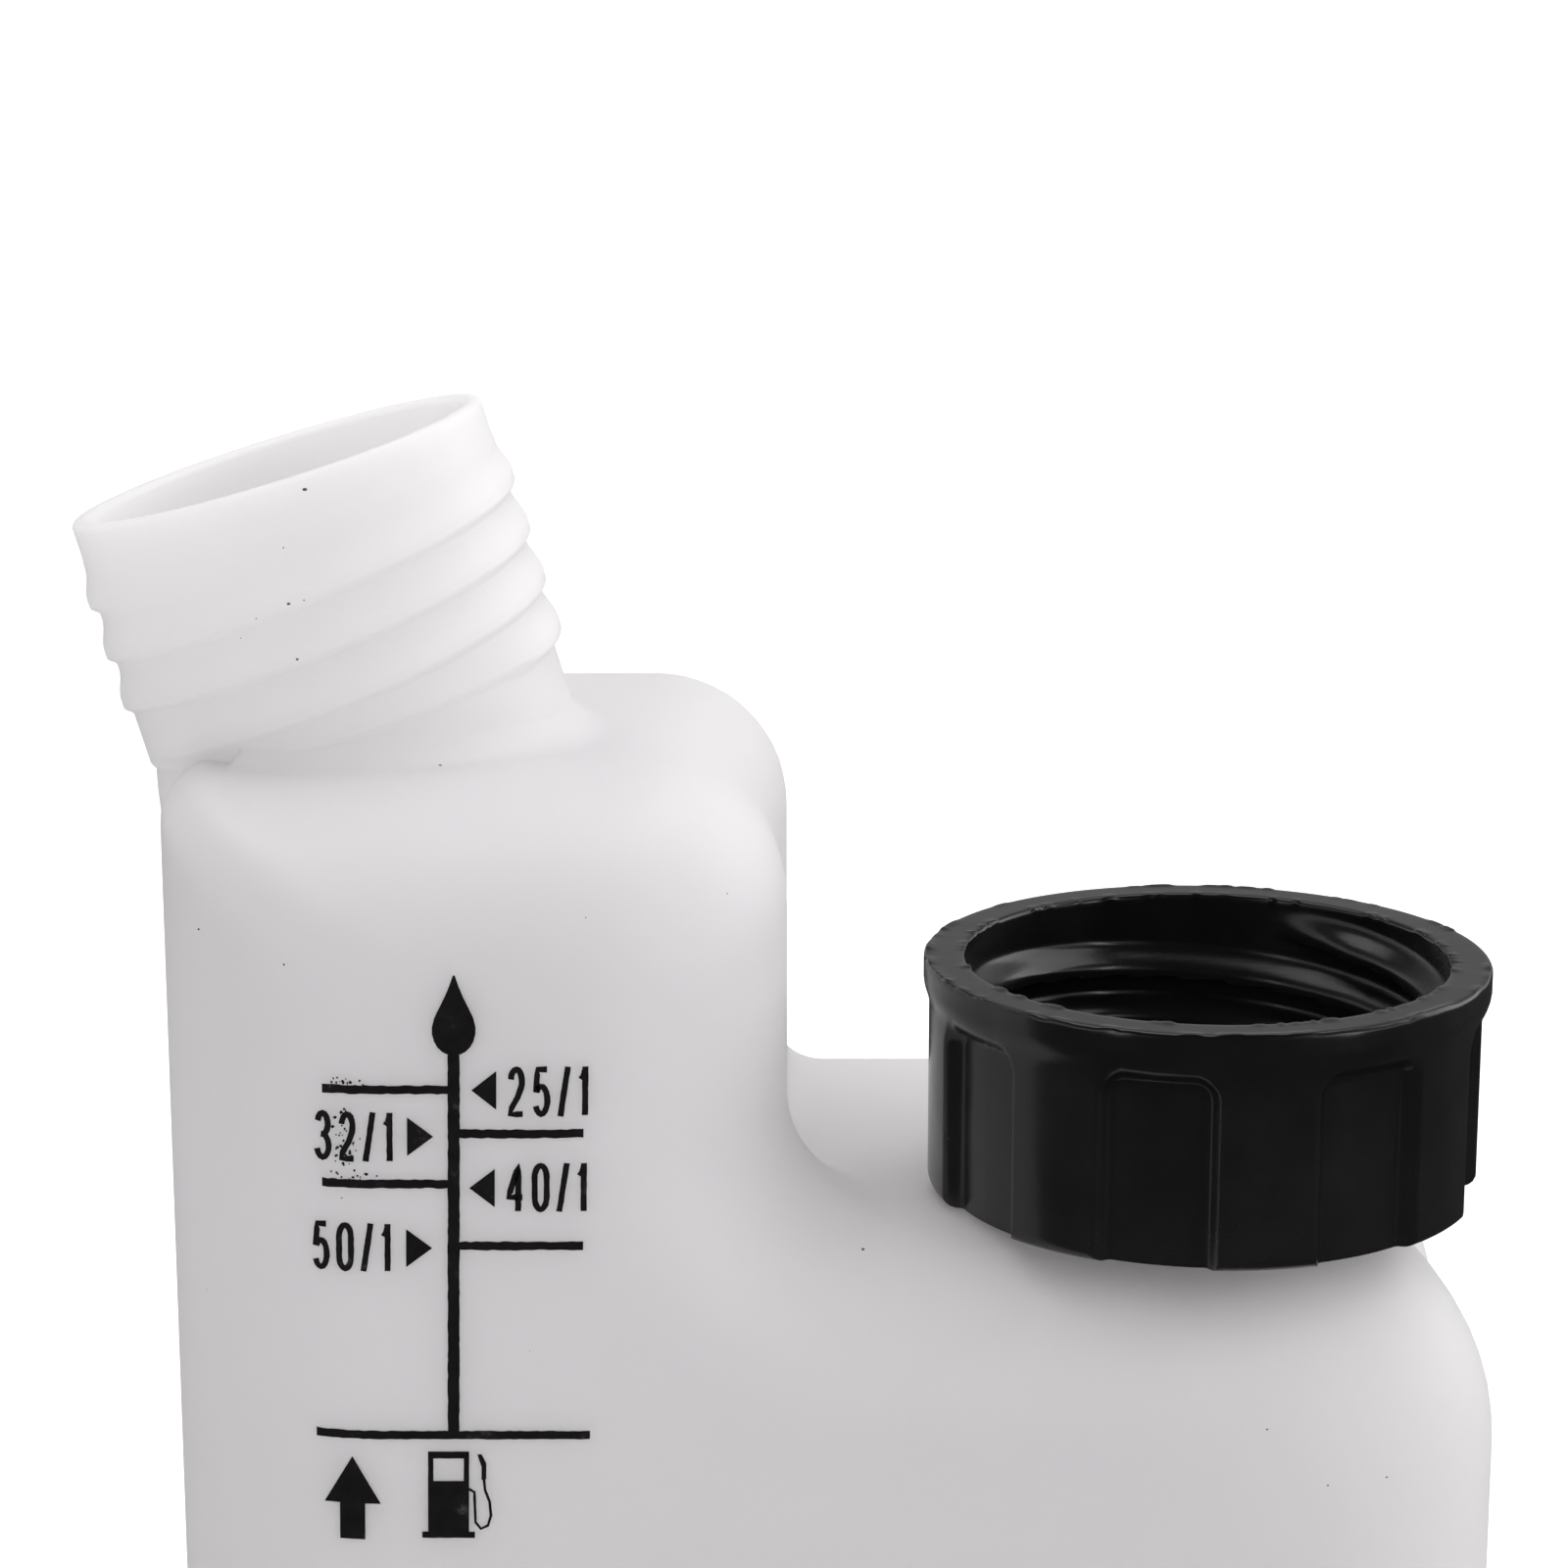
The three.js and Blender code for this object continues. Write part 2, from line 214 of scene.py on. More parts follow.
def full_turn(count):
    """Evenly spaced angles round an axis."""
    return np.arange(count) * 2 * math.pi / count


def surface_tree(piece, unit):
    """A search tree over a piece's faces, with lengths in the given unit, in metres."""
    points = [v.co / unit for v in piece.data.vertices]
    return BVHTree.FromPolygons(points, [tuple(p.vertices) for p in piece.data.polygons])


def combine(target, other, operation):
    """Joins or cuts target with other, which is used up."""
    modifier = target.modifiers.new("combine", "BOOLEAN")
    modifier.object = other
    modifier.operation = operation
    modifier.solver = "MANIFOLD"
    depsgraph = bpy.context.evaluated_depsgraph_get()
    made = bpy.data.meshes.new_from_object(target.evaluated_get(depsgraph))
    target.modifiers.remove(modifier)
    old = target.data
    target.data = made
    bpy.data.meshes.remove(old)
    spent = other.data
    bpy.data.objects.remove(other)
    bpy.data.meshes.remove(spent)


# Bottle body


def rounded_polygon(corners, radii, arc_steps, edge_steps):
    """A polygon with round corners, and extra points along its straight edges."""
    corners = [np.array(c, float) for c in corners]
    arcs = []
    for i, corner in enumerate(corners):
        before = corners[i - 1] - corner
        after = corners[(i + 1) % len(corners)] - corner
        before /= np.linalg.norm(before)
        after /= np.linalg.norm(after)
        half = math.acos(before @ after) / 2
        middle = (before + after) / np.linalg.norm(before + after)
        centre = corner + middle * radii[i] / math.sin(half)
        reach = radii[i] / math.tan(half)
        start = corner + before * reach - centre
        end = corner + after * reach - centre
        sweep = math.atan2(start[0] * end[1] - start[1] * end[0], start @ end)
        angles = sweep * np.linspace(0, 1, arc_steps + 1)
        cos, sin = np.cos(angles), np.sin(angles)
        x = centre[0] + start[0] * cos - start[1] * sin
        y = centre[1] + start[0] * sin + start[1] * cos
        arcs.append(np.stack([x, y], 1))
    points = []
    for i, arc in enumerate(arcs):
        points.append(arc)
        following = arcs[(i + 1) % len(arcs)][0]
        shares = np.linspace(0, 1, edge_steps[i] + 1)[1:-1, None]
        points.append(lerp(arc[-1], following, shares))
    return np.concatenate(points)


ARC_STEPS = 14
ROUND_STEPS = 18
SINK_STEPS = 9
EDGE_STEPS = (60, 14, 10, 16, 44, 44)
PANEL_RINGS = (1.6, 0.6)


def body_outline(flare, sunk, bend, base, inset, extra=0.0):
    """The stepped outline at one depth, as x and z. flare is 0 on the panels and 1 at the walls."""
    side = inset + (SIDE_ROUND_WIDTH - inset) * (1 - flare) + sunk + extra
    top = inset + (TOP_ROUND_HEIGHT - inset) * (1 - flare) + sunk + extra
    low = base + extra
    corners = [
        (low, LEFT + side),
        (COLUMN_HEIGHT - top, LEFT + side),
        (COLUMN_HEIGHT - top, STEP - side),
        (SHOULDER_HEIGHT - top, STEP - side),
        (SHOULDER_HEIGHT - top, RIGHT - side),
        (low, RIGHT - side),
    ]
    radii = [
        BASE_ROUND - inset - extra,
        lerp(COLUMN_PANEL_RADIUS, NECK_CORNER_RADIUS - inset, flare) - extra,
        lerp(COLUMN_PANEL_RADIUS, COLUMN_CORNER_RADIUS - inset, flare) - extra,
        lerp(BEND_PANEL_RADIUS, bend + inset, flare) + extra,
        lerp(SHOULDER_PANEL_RADIUS, SHOULDER_CORNER_RADIUS - inset, flare) - extra,
        BASE_ROUND - inset - extra,
    ]
    return rounded_polygon(corners, radii, ARC_STEPS, EDGE_STEPS)


def base_level(depth, inset):
    """The height at which the rounded base starts, at one depth from the middle."""
    radius = BASE_ROUND - inset
    over = max(0.0, depth - (BODY_DEPTH / 2 - BASE_ROUND))
    return BASE_ROUND - math.sqrt(max(0.0, radius**2 - over**2))


def body_levels(side, inset):
    """Outlines from the front or back panel, side -1 or 1, to the middle, each with its y."""
    ridge = BODY_DEPTH / 2 - ROUND_DEPTH
    bend = BEND_FRONT_RADIUS if side < 0 else BEND_BACK_RADIUS
    panel = BODY_DEPTH / 2 - inset
    levels = []
    for extra in PANEL_RINGS:
        outline = body_outline(0, 0, bend, base_level(panel, inset), inset, extra)
        levels.append((side * panel, outline))
    for k in range(ROUND_STEPS + 1):
        angle = math.pi / 2 * k / ROUND_STEPS
        depth = ridge + (ROUND_DEPTH - inset) * math.cos(angle)
        outline = body_outline(math.sin(angle), 0, bend, base_level(depth, inset), inset)
        levels.append((side * depth, outline))
    for k in range(1, SINK_STEPS + 1):
        share = k / SINK_STEPS
        ease = (1 - math.cos(math.pi * share)) / 2
        bend_here = lerp(bend, BEND_BACK_RADIUS, ease)
        base = base_level(ridge, inset)
        outline = body_outline(1, PANEL_SINK * ease, bend_here, base, inset)
        levels.append((side * ridge * (1 - share), outline))
    return levels


def body_skin(name, inset):
    """The stepped body as a solid, inset by a wall's thickness or not at all."""
    front = body_levels(-1, inset)
    back = body_levels(1, inset)[:-1]
    levels = front + back[::-1]
    rings = []
    for y, outline in levels:
        rings.append(np.stack([outline[:, 1], np.full(len(outline), y), outline[:, 0]], 1))
    points = np.concatenate(rings)
    return add_mesh(name, points, ring_faces(len(rings), len(rings[0])))


def push_up(name, top, grow):
    """The raised middle of the base, as a solid that is cut out of the bottle."""
    outlines = []
    inset = BASE_ROUND + STANDING_RING_WIDTH - grow
    heights = [(-1.0, 0.0)]
    for k in range(PUSH_UP_STEPS + 1):
        share = k / PUSH_UP_STEPS
        heights.append((top * float(smooth(share)), share))
    centre = (LEFT + RIGHT) / 2
    for height, share in heights:
        x = BODY_WIDTH / 2 - inset - PUSH_UP_RUN * share
        y = BODY_DEPTH / 2 - inset - PUSH_UP_RUN * share
        corners = [(centre - x, -y), (centre + x, -y), (centre + x, y), (centre - x, y)]
        radius = ROUND_DEPTH - BASE_ROUND
        outline = rounded_polygon(corners, [radius] * 4, 8, (4, 4, 4, 4))
        outlines.append(np.column_stack([outline, np.full(len(outline), height)]))
    points = np.concatenate(outlines)
    return add_mesh(name, points, ring_faces(len(outlines), len(outlines[0])))


# Screw threads


def ridge_height(theta, z, level, turns, turned, foot, crest):
    """How far up a thread ridge a point lies, from 0 in the root to 1 on the crest."""
    lead = THREAD_PITCH * THREAD_STARTS
    first, last = turns
    best = np.zeros(np.broadcast(theta, z).shape)
    for lap in range(-1, 4):
        wound = np.degrees(theta - turned) + 360 * lap
        above = z - (level + lead * wound / 360)
        upper = smooth((foot / 2 - above) / (foot / 2 + THREAD_LEAN - crest / 2))
        lower = smooth((above + foot / 2) / (foot / 2 - THREAD_LEAN - crest / 2))
        fade_in = smooth((wound - first) / THREAD_RUN_OUT_DEGREES)
        fade_out = smooth((last - wound) / THREAD_RUN_OUT_DEGREES)
        fade = fade_in * fade_out
        best = np.maximum(best, np.minimum(upper, lower) * fade)
    return best


def thread(theta, z, level, turns_of_ridges, foot, crest):
    """The highest of a thread's ridges at each point."""
    heights = []
    for start, turns in enumerate(turns_of_ridges):
        turned = 2 * math.pi * start / THREAD_STARTS
        heights.append(ridge_height(theta, z, level, turns, turned, foot, crest))
    return np.maximum.reduce(heights)


# Neck

NECK_SIDES = 300


def on_neck(points):
    """From the neck's own axes, with the middle of its rim as origin, to the part's frame."""
    cos, sin = math.cos(NECK_TILT), math.sin(NECK_TILT)
    x, y, z = points.T
    rim = (LEFT + NECK_RIM_INSET, COLUMN_HEIGHT + NECK_RIM_RISE)
    return np.stack([rim[0] + x * cos - z * sin, y, rim[1] + x * sin + z * cos], 1)


def neck_reach(radius):
    """How far below its rim a tube round the neck's axis is fully inside the body."""
    through_top = NECK_RIM_RISE / math.cos(NECK_TILT) + radius * math.tan(NECK_TILT)
    through_wall = (radius * math.cos(NECK_TILT) - NECK_RIM_INSET) / math.sin(NECK_TILT)
    return max(through_top, through_wall)


def tube(name, radii, heights):
    """A closed solid of revolution on the neck's axis. radii has a row for each height."""
    count = radii.shape[1]
    theta = full_turn(count)
    rows = []
    for row, z in zip(radii, heights):
        rows.append(np.stack([row * np.cos(theta), row * np.sin(theta), np.full(count, z)], 1))
    points = on_neck(np.concatenate(rows))
    return add_mesh(name, points, ring_faces(len(rows), count))


def neck_outside():
    """The neck as a full solid: plain at the foot, then the thread, then the rim."""
    reach = neck_reach(NECK_RADIUS) + WALL
    arc = np.linspace(0, math.pi / 2, 6)
    heights = np.concatenate(
        [
            np.linspace(-reach, -NECK_THREAD_BOTTOM - 2, 20),
            np.arange(-NECK_THREAD_BOTTOM - 1.8, -RIM_EDGE, 0.2),
            -RIM_EDGE + RIM_EDGE * np.sin(arc),
        ]
    )
    into_thread = smooth((heights + NECK_THREAD_BOTTOM + 0.8) / 0.8)
    into_rim = smooth((heights + NECK_THREAD_TOP) / (NECK_THREAD_TOP - RIM_HEIGHT + 0.8))
    profile = lerp(NECK_RADIUS, NECK_THREAD_ROOT, into_thread)
    profile = lerp(profile, RIM_RADIUS, into_rim)
    over = np.clip((heights + RIM_EDGE) / RIM_EDGE, 0, 1)
    profile -= RIM_EDGE * (1 - np.sqrt(1 - over**2))
    theta = full_turn(NECK_SIDES)
    raised = thread(
        theta[None, :],
        heights[:, None],
        NECK_RIDGE_LEVEL,
        NECK_RIDGE_TURNS,
        NECK_THREAD_FOOT,
        NECK_THREAD_CREST,
    )
    return tube("neck", profile[:, None] + NECK_THREAD_HEIGHT * raised, heights)


def neck_bore():
    """The space inside the neck, down into the body's hollow."""
    reach = neck_reach(NECK_BORE_RADIUS) + (WALL + PANEL_SINK) / math.sin(NECK_TILT)
    inside = np.linspace(-reach, -NECK_MOUTH_ROUND, 30)
    heights = np.concatenate([inside, np.linspace(-0.6, 0, 5), [2.0]])
    flare = smooth((heights + NECK_MOUTH_ROUND) / NECK_MOUTH_ROUND) ** 2
    profile = NECK_BORE_RADIUS + NECK_MOUTH_ROUND * flare
    return tube("bore", np.repeat(profile[:, None], NECK_SIDES, 1), heights)


def neck_root(piece):
    """A soft blend from the neck down to the column, as blown plastic has, laid on piece."""
    tree = surface_tree(piece, MM)
    theta = full_turn(NECK_SIDES)
    down = np.array([math.sin(NECK_TILT), 0.0, -math.cos(NECK_TILT)])
    upright = np.array([0.0, 0.0, -1.0])
    left = smooth((-np.cos(theta) - ROOT_LEFT_FROM) / ROOT_LEFT_OVER)
    radius = NECK_RADIUS - ROOT_OVERLAP
    x, y = radius * np.cos(theta), radius * np.sin(theta)
    starts = on_neck(np.stack([x, y, np.full(NECK_SIDES, ROOT_START)], 1))
    centre = on_neck(np.array([[0.0, 0.0, ROOT_START]]))[0]
    rings = [[] for _ in range(ROOT_STEPS + 1)]
    below = NECK_THREAD_BOTTOM + ROOT_BELOW_THREAD + ROOT_START
    for start, share in zip(starts, left):
        out = (start - centre) / np.linalg.norm(start - centre)
        meeting, normal, _, _ = tree.ray_cast(Vector(start), Vector(down))
        meeting, normal = np.array(meeting), np.array(normal)
        begin = lerp(meeting - down * ROOT_RADIUS, start + down * below, share)
        along = out - normal * (out @ normal)
        if along @ along < 0.2:
            along = down - normal * (down @ normal)
        along /= np.linalg.norm(along)
        foot = np.array([LEFT, start[1] * ROOT_SPREAD_LEFT, COLUMN_HEIGHT - ROOT_DROP_LEFT])
        goal = lerp(meeting + along * ROOT_RADIUS, foot, share)
        spot, normal, _, _ = tree.find_nearest(Vector(goal))
        spot, normal = np.array(spot), np.array(normal)
        length = ROOT_PULL * np.linalg.norm(spot - begin)
        leave = lerp(down, upright, share)
        leave /= np.linalg.norm(leave)
        along = lerp(along, upright, share)
        along -= normal * (along @ normal)
        along /= np.linalg.norm(along)
        for k in range(ROOT_STEPS + 1):
            t = k / ROOT_STEPS
            place = (
                (2 * t**3 - 3 * t**2 + 1) * begin
                + (t**3 - 2 * t**2 + t) * leave * length
                + (3 * t**2 - 2 * t**3) * spot
                + (t**3 - t**2) * along * length
            )
            rings[k].append(place - normal * ROOT_OVERLAP * t)
    rings = [np.array(ring) for ring in rings]
    middle_top = on_neck(np.array([[0.0, 0.0, -NECK_THREAD_BOTTOM - 2.5]]))[0]
    middle_low = middle_top + down * 10
    sunk = np.array([0, 0, ROOT_CLOSING_DROP])
    closing = [lerp(rings[-1], middle_low, share) - sunk for share in (0.15, 0.6)]
    opening = [lerp(rings[0], middle_top, share) for share in (0.6, 0.1)]
    points = np.concatenate((opening + rings + closing)[::-1])
    return add_mesh("neck_root", points, ring_faces(ROOT_STEPS + 5, NECK_SIDES))


def make_bottle():
    """The hollow bottle: body, neck and the blend between them, less the push-up and inside."""
    bottle = body_skin("bottle_shell", 0)
    root = neck_root(bottle)
    combine(bottle, neck_outside(), "UNION")
    combine(bottle, root, "UNION")
    combine(bottle, push_up("push_up", PUSH_UP_HEIGHT, 0), "DIFFERENCE")
    hollow = body_skin("hollow", WALL)
    combine(hollow, push_up("push_up_inside", PUSH_UP_HEIGHT + WALL, WALL), "DIFFERENCE")
    combine(hollow, neck_bore(), "UNION")
    combine(bottle, hollow, "DIFFERENCE")
    shade(bottle, 50)
    return bottle


# Cap

CAP_SIDES = 640

# Moulding flash: seed, number of humps, their spread in radians, their height
OUTER_FLASH = ((3, 46, 0.05, 0.16), (8, 5, 0.12, 0.22))
INNER_FLASH = (5, 60, 0.035, 0.16)


def cap_rows():
    """The cap's section from the middle of its closed end round to the inside: radius, z, kind."""
    rows = [(r, 0.0, "end") for r in (0.01, 8.0, 16.0, 20.0, 21.6)]
    for angle in np.linspace(-math.pi / 2, 0, 9):
        r = CAP_SKIRT_RADIUS - CAP_EDGE_RADIUS * (1 - math.cos(angle))
        rows.append((r, CAP_EDGE_RADIUS * (1 + math.sin(angle)), "skirt"))
    rim_start = CAP_HEIGHT - CAP_RIM_HEIGHT
    for z in np.arange(CAP_EDGE_RADIUS + 0.4, rim_start - 0.8, 0.3):
        rows.append((CAP_SKIRT_RADIUS, z, "skirt"))
    lip = CAP_RIM_RADIUS - CAP_SKIRT_RADIUS
    for share in (0.0, 0.25, 0.5, 0.75, 1.0):
        radius = CAP_SKIRT_RADIUS + lip * float(smooth(share))
        rows.append((radius, rim_start - CAP_LIP_DROP + CAP_LIP_RISE * share, "skirt"))
    for z in np.linspace(rim_start + 1.9, CAP_HEIGHT - CAP_RIM_EDGE, 5):
        rows.append((CAP_RIM_RADIUS, z, "rim"))
    for angle in np.linspace(0.3, math.pi / 2, 5):
        r = CAP_RIM_RADIUS - CAP_RIM_EDGE * (1 - math.cos(angle))
        rows.append((r, CAP_HEIGHT - CAP_RIM_EDGE * (1 - math.sin(angle)), "rim"))
    for r in np.linspace(CAP_RIM_RADIUS - CAP_RIM_EDGE - 0.4, CAP_BORE + CAP_BORE_EDGE, 7):
        rows.append((r, CAP_HEIGHT, "rim"))
    for angle in np.linspace(math.pi / 2, math.pi, 4)[1:]:
        r = CAP_BORE + CAP_BORE_EDGE * (1 + math.cos(angle))
        rows.append((r, CAP_HEIGHT - CAP_BORE_EDGE * (1 - math.sin(angle)), "rim"))
    for z in np.arange(CAP_HEIGHT - CAP_BORE_EDGE - 0.35, CAP_TOP_THICKNESS + 0.5, -0.35):
        rows.append((CAP_BORE, z, "bore"))
    for share in (0.4, 1.0):
        z = CAP_TOP_THICKNESS + CAP_FLOOR_EDGE * (1 - share)
        rows.append((CAP_BORE - CAP_FLOOR_EDGE * share, z, "floor"))
    rows += [(r, CAP_TOP_THICKNESS, "floor") for r in (18.0, 12.0, 6.0, 0.01)]
    return rows


def grip_mask(theta, z):
    """1 on the floor of a sunk grip panel and 0 off it, with a bevel between."""
    pitch = 2 * math.pi / GRIP_COUNT
    turn = theta + math.pi / 2 - CAP_TURN
    away = np.abs((turn + pitch / 2) % pitch - pitch / 2) * CAP_SKIRT_RADIUS
    half = GRIP_ANGLE * CAP_SKIRT_RADIUS / 2
    top = CAP_HEIGHT - CAP_RIM_HEIGHT - GRIP_BEVEL
    dx = away - (half - GRIP_CORNER_RADIUS)
    dz = z - (top - GRIP_CORNER_RADIUS)
    outside = np.hypot(np.maximum(dx, 0), np.maximum(dz, 0))
    outside = outside + np.minimum(np.maximum(dx, dz), 0)
    return 1 - smooth((outside - GRIP_CORNER_RADIUS) / GRIP_BEVEL)


def rim_flash(theta, seed, count, spread, height):
    """Uneven flash left on a moulded edge: small humps at seeded places."""
    random = np.random.RandomState(seed)
    total = np.zeros_like(theta)
    for _ in range(count):
        centre = random.uniform(0, 2 * math.pi)
        width = random.uniform(0.3, 1.0) * spread
        lift = random.uniform(0.25, 1.0) * height
        gap = np.abs((theta - centre + math.pi) % (2 * math.pi) - math.pi)
        total = np.maximum(total, lift * np.exp(-((gap / width) ** 4)))
    return total


def make_cap():
    """The cap as one closed surface, turned about its axis and pushed in and out row by row."""
    theta = full_turn(CAP_SIDES)
    fine_flash, coarse_flash = (rim_flash(theta, *humps) for humps in OUTER_FLASH)
    outer_flash = fine_flash + coarse_flash
    inner_flash = rim_flash(theta, *INNER_FLASH)
    points = []
    rows = cap_rows()
    middle = (CAP_RIM_RADIUS + CAP_BORE) / 2
    for radius, z, kind in rows:
        row_radius = np.full(CAP_SIDES, radius)
        row_z = np.full(CAP_SIDES, float(z))
        if kind == "skirt":
            floor = CAP_SKIRT_RADIUS - GRIP_DEPTH * grip_mask(theta, z)
            sunk = np.where(floor < CAP_SKIRT_RADIUS, floor, radius)
            row_radius = np.minimum(row_radius, sunk)
        if kind == "bore":
            raised = thread(
                theta, row_z, CAP_RIDGE_LEVEL, CAP_RIDGE_TURNS, CAP_THREAD_FOOT, CAP_THREAD_CREST
            )
            row_radius = row_radius - CAP_THREAD_HEIGHT * raised
        if kind == "rim":
            near_outside = smooth(1 - abs(radius - CAP_RIM_RADIUS + 0.2) / 0.8)
            near_inside = smooth(1 - abs(radius - CAP_BORE - 0.3) / 0.7)
            high = smooth((z - CAP_HEIGHT + 0.8) / 0.8)
            row_z = row_z + high * (near_outside * outer_flash + near_inside * inner_flash)
            pull = near_inside * inner_flash * high * np.sign(middle - radius)
            row_radius = row_radius - pull
        x = CAP_AXIS[0] + row_radius * np.cos(theta)
        y = CAP_AXIS[1] + row_radius * np.sin(theta)
        points.append(np.stack([x, y, CAP_FLOOR + row_z], 1))
    faces = ring_faces(len(rows), CAP_SIDES)
    return add_mesh("cap_body", np.concatenate(points), faces, 45)


# Sealing disc

SEAL_SIDES = 192
SEAL_EDGE = 0.3
SEAL_MARK_DEPTH = 0.35
SEAL_MARK_HALF_WIDTH = 1.3


def make_seal():
    """The sealing disc, with the ring that the neck's rim has pressed into it."""
    radius = (seal_high[0] - seal_low[0]) / 2
    bottom, top = seal_low[2], seal_high[2]
    section = [(0.01, bottom), (radius - SEAL_EDGE, bottom), (radius, bottom + SEAL_EDGE)]
    section += [(radius, top - SEAL_EDGE), (radius - SEAL_EDGE, top)]
    for r in np.linspace(radius - 0.8, 15.5, 24):
        away = abs(r - (RIM_RADIUS + NECK_BORE_RADIUS) / 2)
        pressed = SEAL_MARK_DEPTH * float(smooth(1 - away / SEAL_MARK_HALF_WIDTH))
        section.append((r, top - pressed))
    section += [(10.0, top), (0.01, top)]
    theta = full_turn(SEAL_SIDES)
    points = []
    for r, z in section:
        x = CAP_AXIS[0] + r * np.cos(theta)
        y = CAP_AXIS[1] + r * np.sin(theta)
        points.append(np.stack([x, y, np.full(SEAL_SIDES, z)], 1))
    faces = ring_faces(len(section), SEAL_SIDES)
    return add_mesh("seal_disc", np.concatenate(points), faces, 45)


# Materials


def new_material(name):
    """A material with its nodes, its links and its main shader."""
    material = bpy.data.materials.new(name)
    material.use_nodes = True
    nodes = material.node_tree.nodes
    return material, nodes, material.node_tree.links, nodes["Principled BSDF"]


def noise_node(nodes, links, scale, detail=4.0, roughness=0.5):
    place = nodes.new("ShaderNodeTexCoord")
    noise = nodes.new("ShaderNodeTexNoise")
    noise.inputs["Scale"].default_value = scale
    noise.inputs["Detail"].default_value = detail
    noise.inputs["Roughness"].default_value = roughness
    links.new(place.outputs["Object"], noise.inputs["Vector"])
    return noise.outputs["Fac"]


def grey(value):
    return (value, value, value)


def ramp_node(nodes, links, source, stops):
    ramp = nodes.new("ShaderNodeValToRGB")
    elements = ramp.color_ramp.elements
    while len(elements) < len(stops):
        elements.new(0.5)
    for element, (position, color) in zip(elements, stops):
        element.position = position
        element.color = (*color, 1.0)
    links.new(source, ramp.inputs["Fac"])
    return ramp.outputs["Color"]


def bump_node(nodes, links, height, strength, distance, under=None):
    bump = nodes.new("ShaderNodeBump")
    bump.inputs["Strength"].default_value = strength
    bump.inputs["Distance"].default_value = distance
    links.new(height, bump.inputs["Height"])
    if under is not None:
        links.new(under, bump.inputs["Normal"])
    return bump.outputs["Normal"]


def blown_plastic():
    """Natural polyethylene: milky, translucent, satin, with the slight ripple of blown walls."""
    material, nodes, links, shader = new_material("natural_polyethylene")
    cloud = noise_node(nodes, links, 14, 3)
    tint = ramp_node(nodes, links, cloud, [(0.3, (0.83, 0.81, 0.82)), (0.7, (0.87, 0.85, 0.865))])
    links.new(tint, shader.inputs["Base Color"])
    grain = noise_node(nodes, links, 900, 3)
    gloss = ramp_node(nodes, links, cloud, [(0.3, grey(0.40)), (0.7, grey(0.50))])
    links.new(gloss, shader.inputs["Roughness"])
    ripple = noise_node(nodes, links, 28, 2)
    low = bump_node(nodes, links, ripple, 0.10, 0.002)
    fine = bump_node(nodes, links, grain, 0.06, 0.0002, low)
    links.new(fine, shader.inputs["Normal"])
    through = nodes.new("ShaderNodeBsdfTranslucent")
    through.inputs["Color"].default_value = (0.88, 0.87, 0.875, 1)
    links.new(fine, through.inputs["Normal"])
    wall = nodes.new("ShaderNodeMixShader")
    wall.inputs["Fac"].default_value = 0.36
    links.new(shader.outputs["BSDF"], wall.inputs[1])
    links.new(through.outputs["BSDF"], wall.inputs[2])
    links.new(wall.outputs["Shader"], nodes["Material Output"].inputs["Surface"])
    shader.inputs["Subsurface Weight"].default_value = 0.75
    shader.inputs["Subsurface Radius"].default_value = (1.0, 0.97, 0.96)
    shader.inputs["Subsurface Scale"].default_value = 0.009
    shader.inputs["Specular IOR Level"].default_value = 0.35
    return material


def black_plastic():
    """Black moulded cap: deep, semi-glossy, slightly wavy."""
    material, nodes, links, shader = new_material("black_moulded_plastic")
    cloud = noise_node(nodes, links, 60, 5, 0.6)
    dark, light = (0.004, 0.004, 0.0045), (0.008, 0.008, 0.009)
    tint = ramp_node(nodes, links, cloud, [(0.35, dark), (0.75, light)])
    links.new(tint, shader.inputs["Base Color"])
    gloss = ramp_node(nodes, links, cloud, [(0.3, grey(0.18)), (0.75, grey(0.32))])
    links.new(gloss, shader.inputs["Roughness"])
    grain = noise_node(nodes, links, 700, 4, 0.7)
    wave = noise_node(nodes, links, 120, 3)
    low = bump_node(nodes, links, wave, 0.12, 0.0006)
    fine = bump_node(nodes, links, grain, 0.12, 0.0001, low)
    links.new(fine, shader.inputs["Normal"])
    shader.inputs["Specular IOR Level"].default_value = 0.42
    return material


def seal_rubber():
    """Matt black sealing rubber."""
    material, nodes, links, shader = new_material("sealing_rubber")
    cloud = noise_node(nodes, links, 150, 5, 0.6)
    dark, light = (0.020, 0.020, 0.021), (0.038, 0.037, 0.037)
    tint = ramp_node(nodes, links, cloud, [(0.3, dark), (0.75, light)])
    links.new(tint, shader.inputs["Base Color"])
    fine = bump_node(nodes, links, cloud, 0.3, 0.0002)
    links.new(fine, shader.inputs["Normal"])
    shader.inputs["Roughness"].default_value = 0.7
    return material


def printing_ink():
    """Black screen-printing ink, slightly uneven."""
    material, nodes, links, shader = new_material("printing_ink")
    cloud = noise_node(nodes, links, 420, 6, 0.7)
    dark, middle, thin = (0.004, 0.004, 0.004), (0.008, 0.007, 0.008), (0.05, 0.047, 0.047)
    tint = ramp_node(nodes, links, cloud, [(0.35, dark), (0.62, middle), (0.74, thin)])
    links.new(tint, shader.inputs["Base Color"])
    shader.inputs["Roughness"].default_value = 0.55
    shader.inputs["Specular IOR Level"].default_value = 0.2
    return material


def dirt():
    """Small dark specks of dirt."""
    material, nodes, links, shader = new_material("dirt")
    cloud = noise_node(nodes, links, 2000, 2)
    tint = ramp_node(nodes, links, cloud, [(0.3, (0.03, 0.025, 0.02)), (0.7, (0.10, 0.09, 0.08))])
    links.new(tint, shader.inputs["Base Color"])
    shader.inputs["Roughness"].default_value = 0.9
    return material


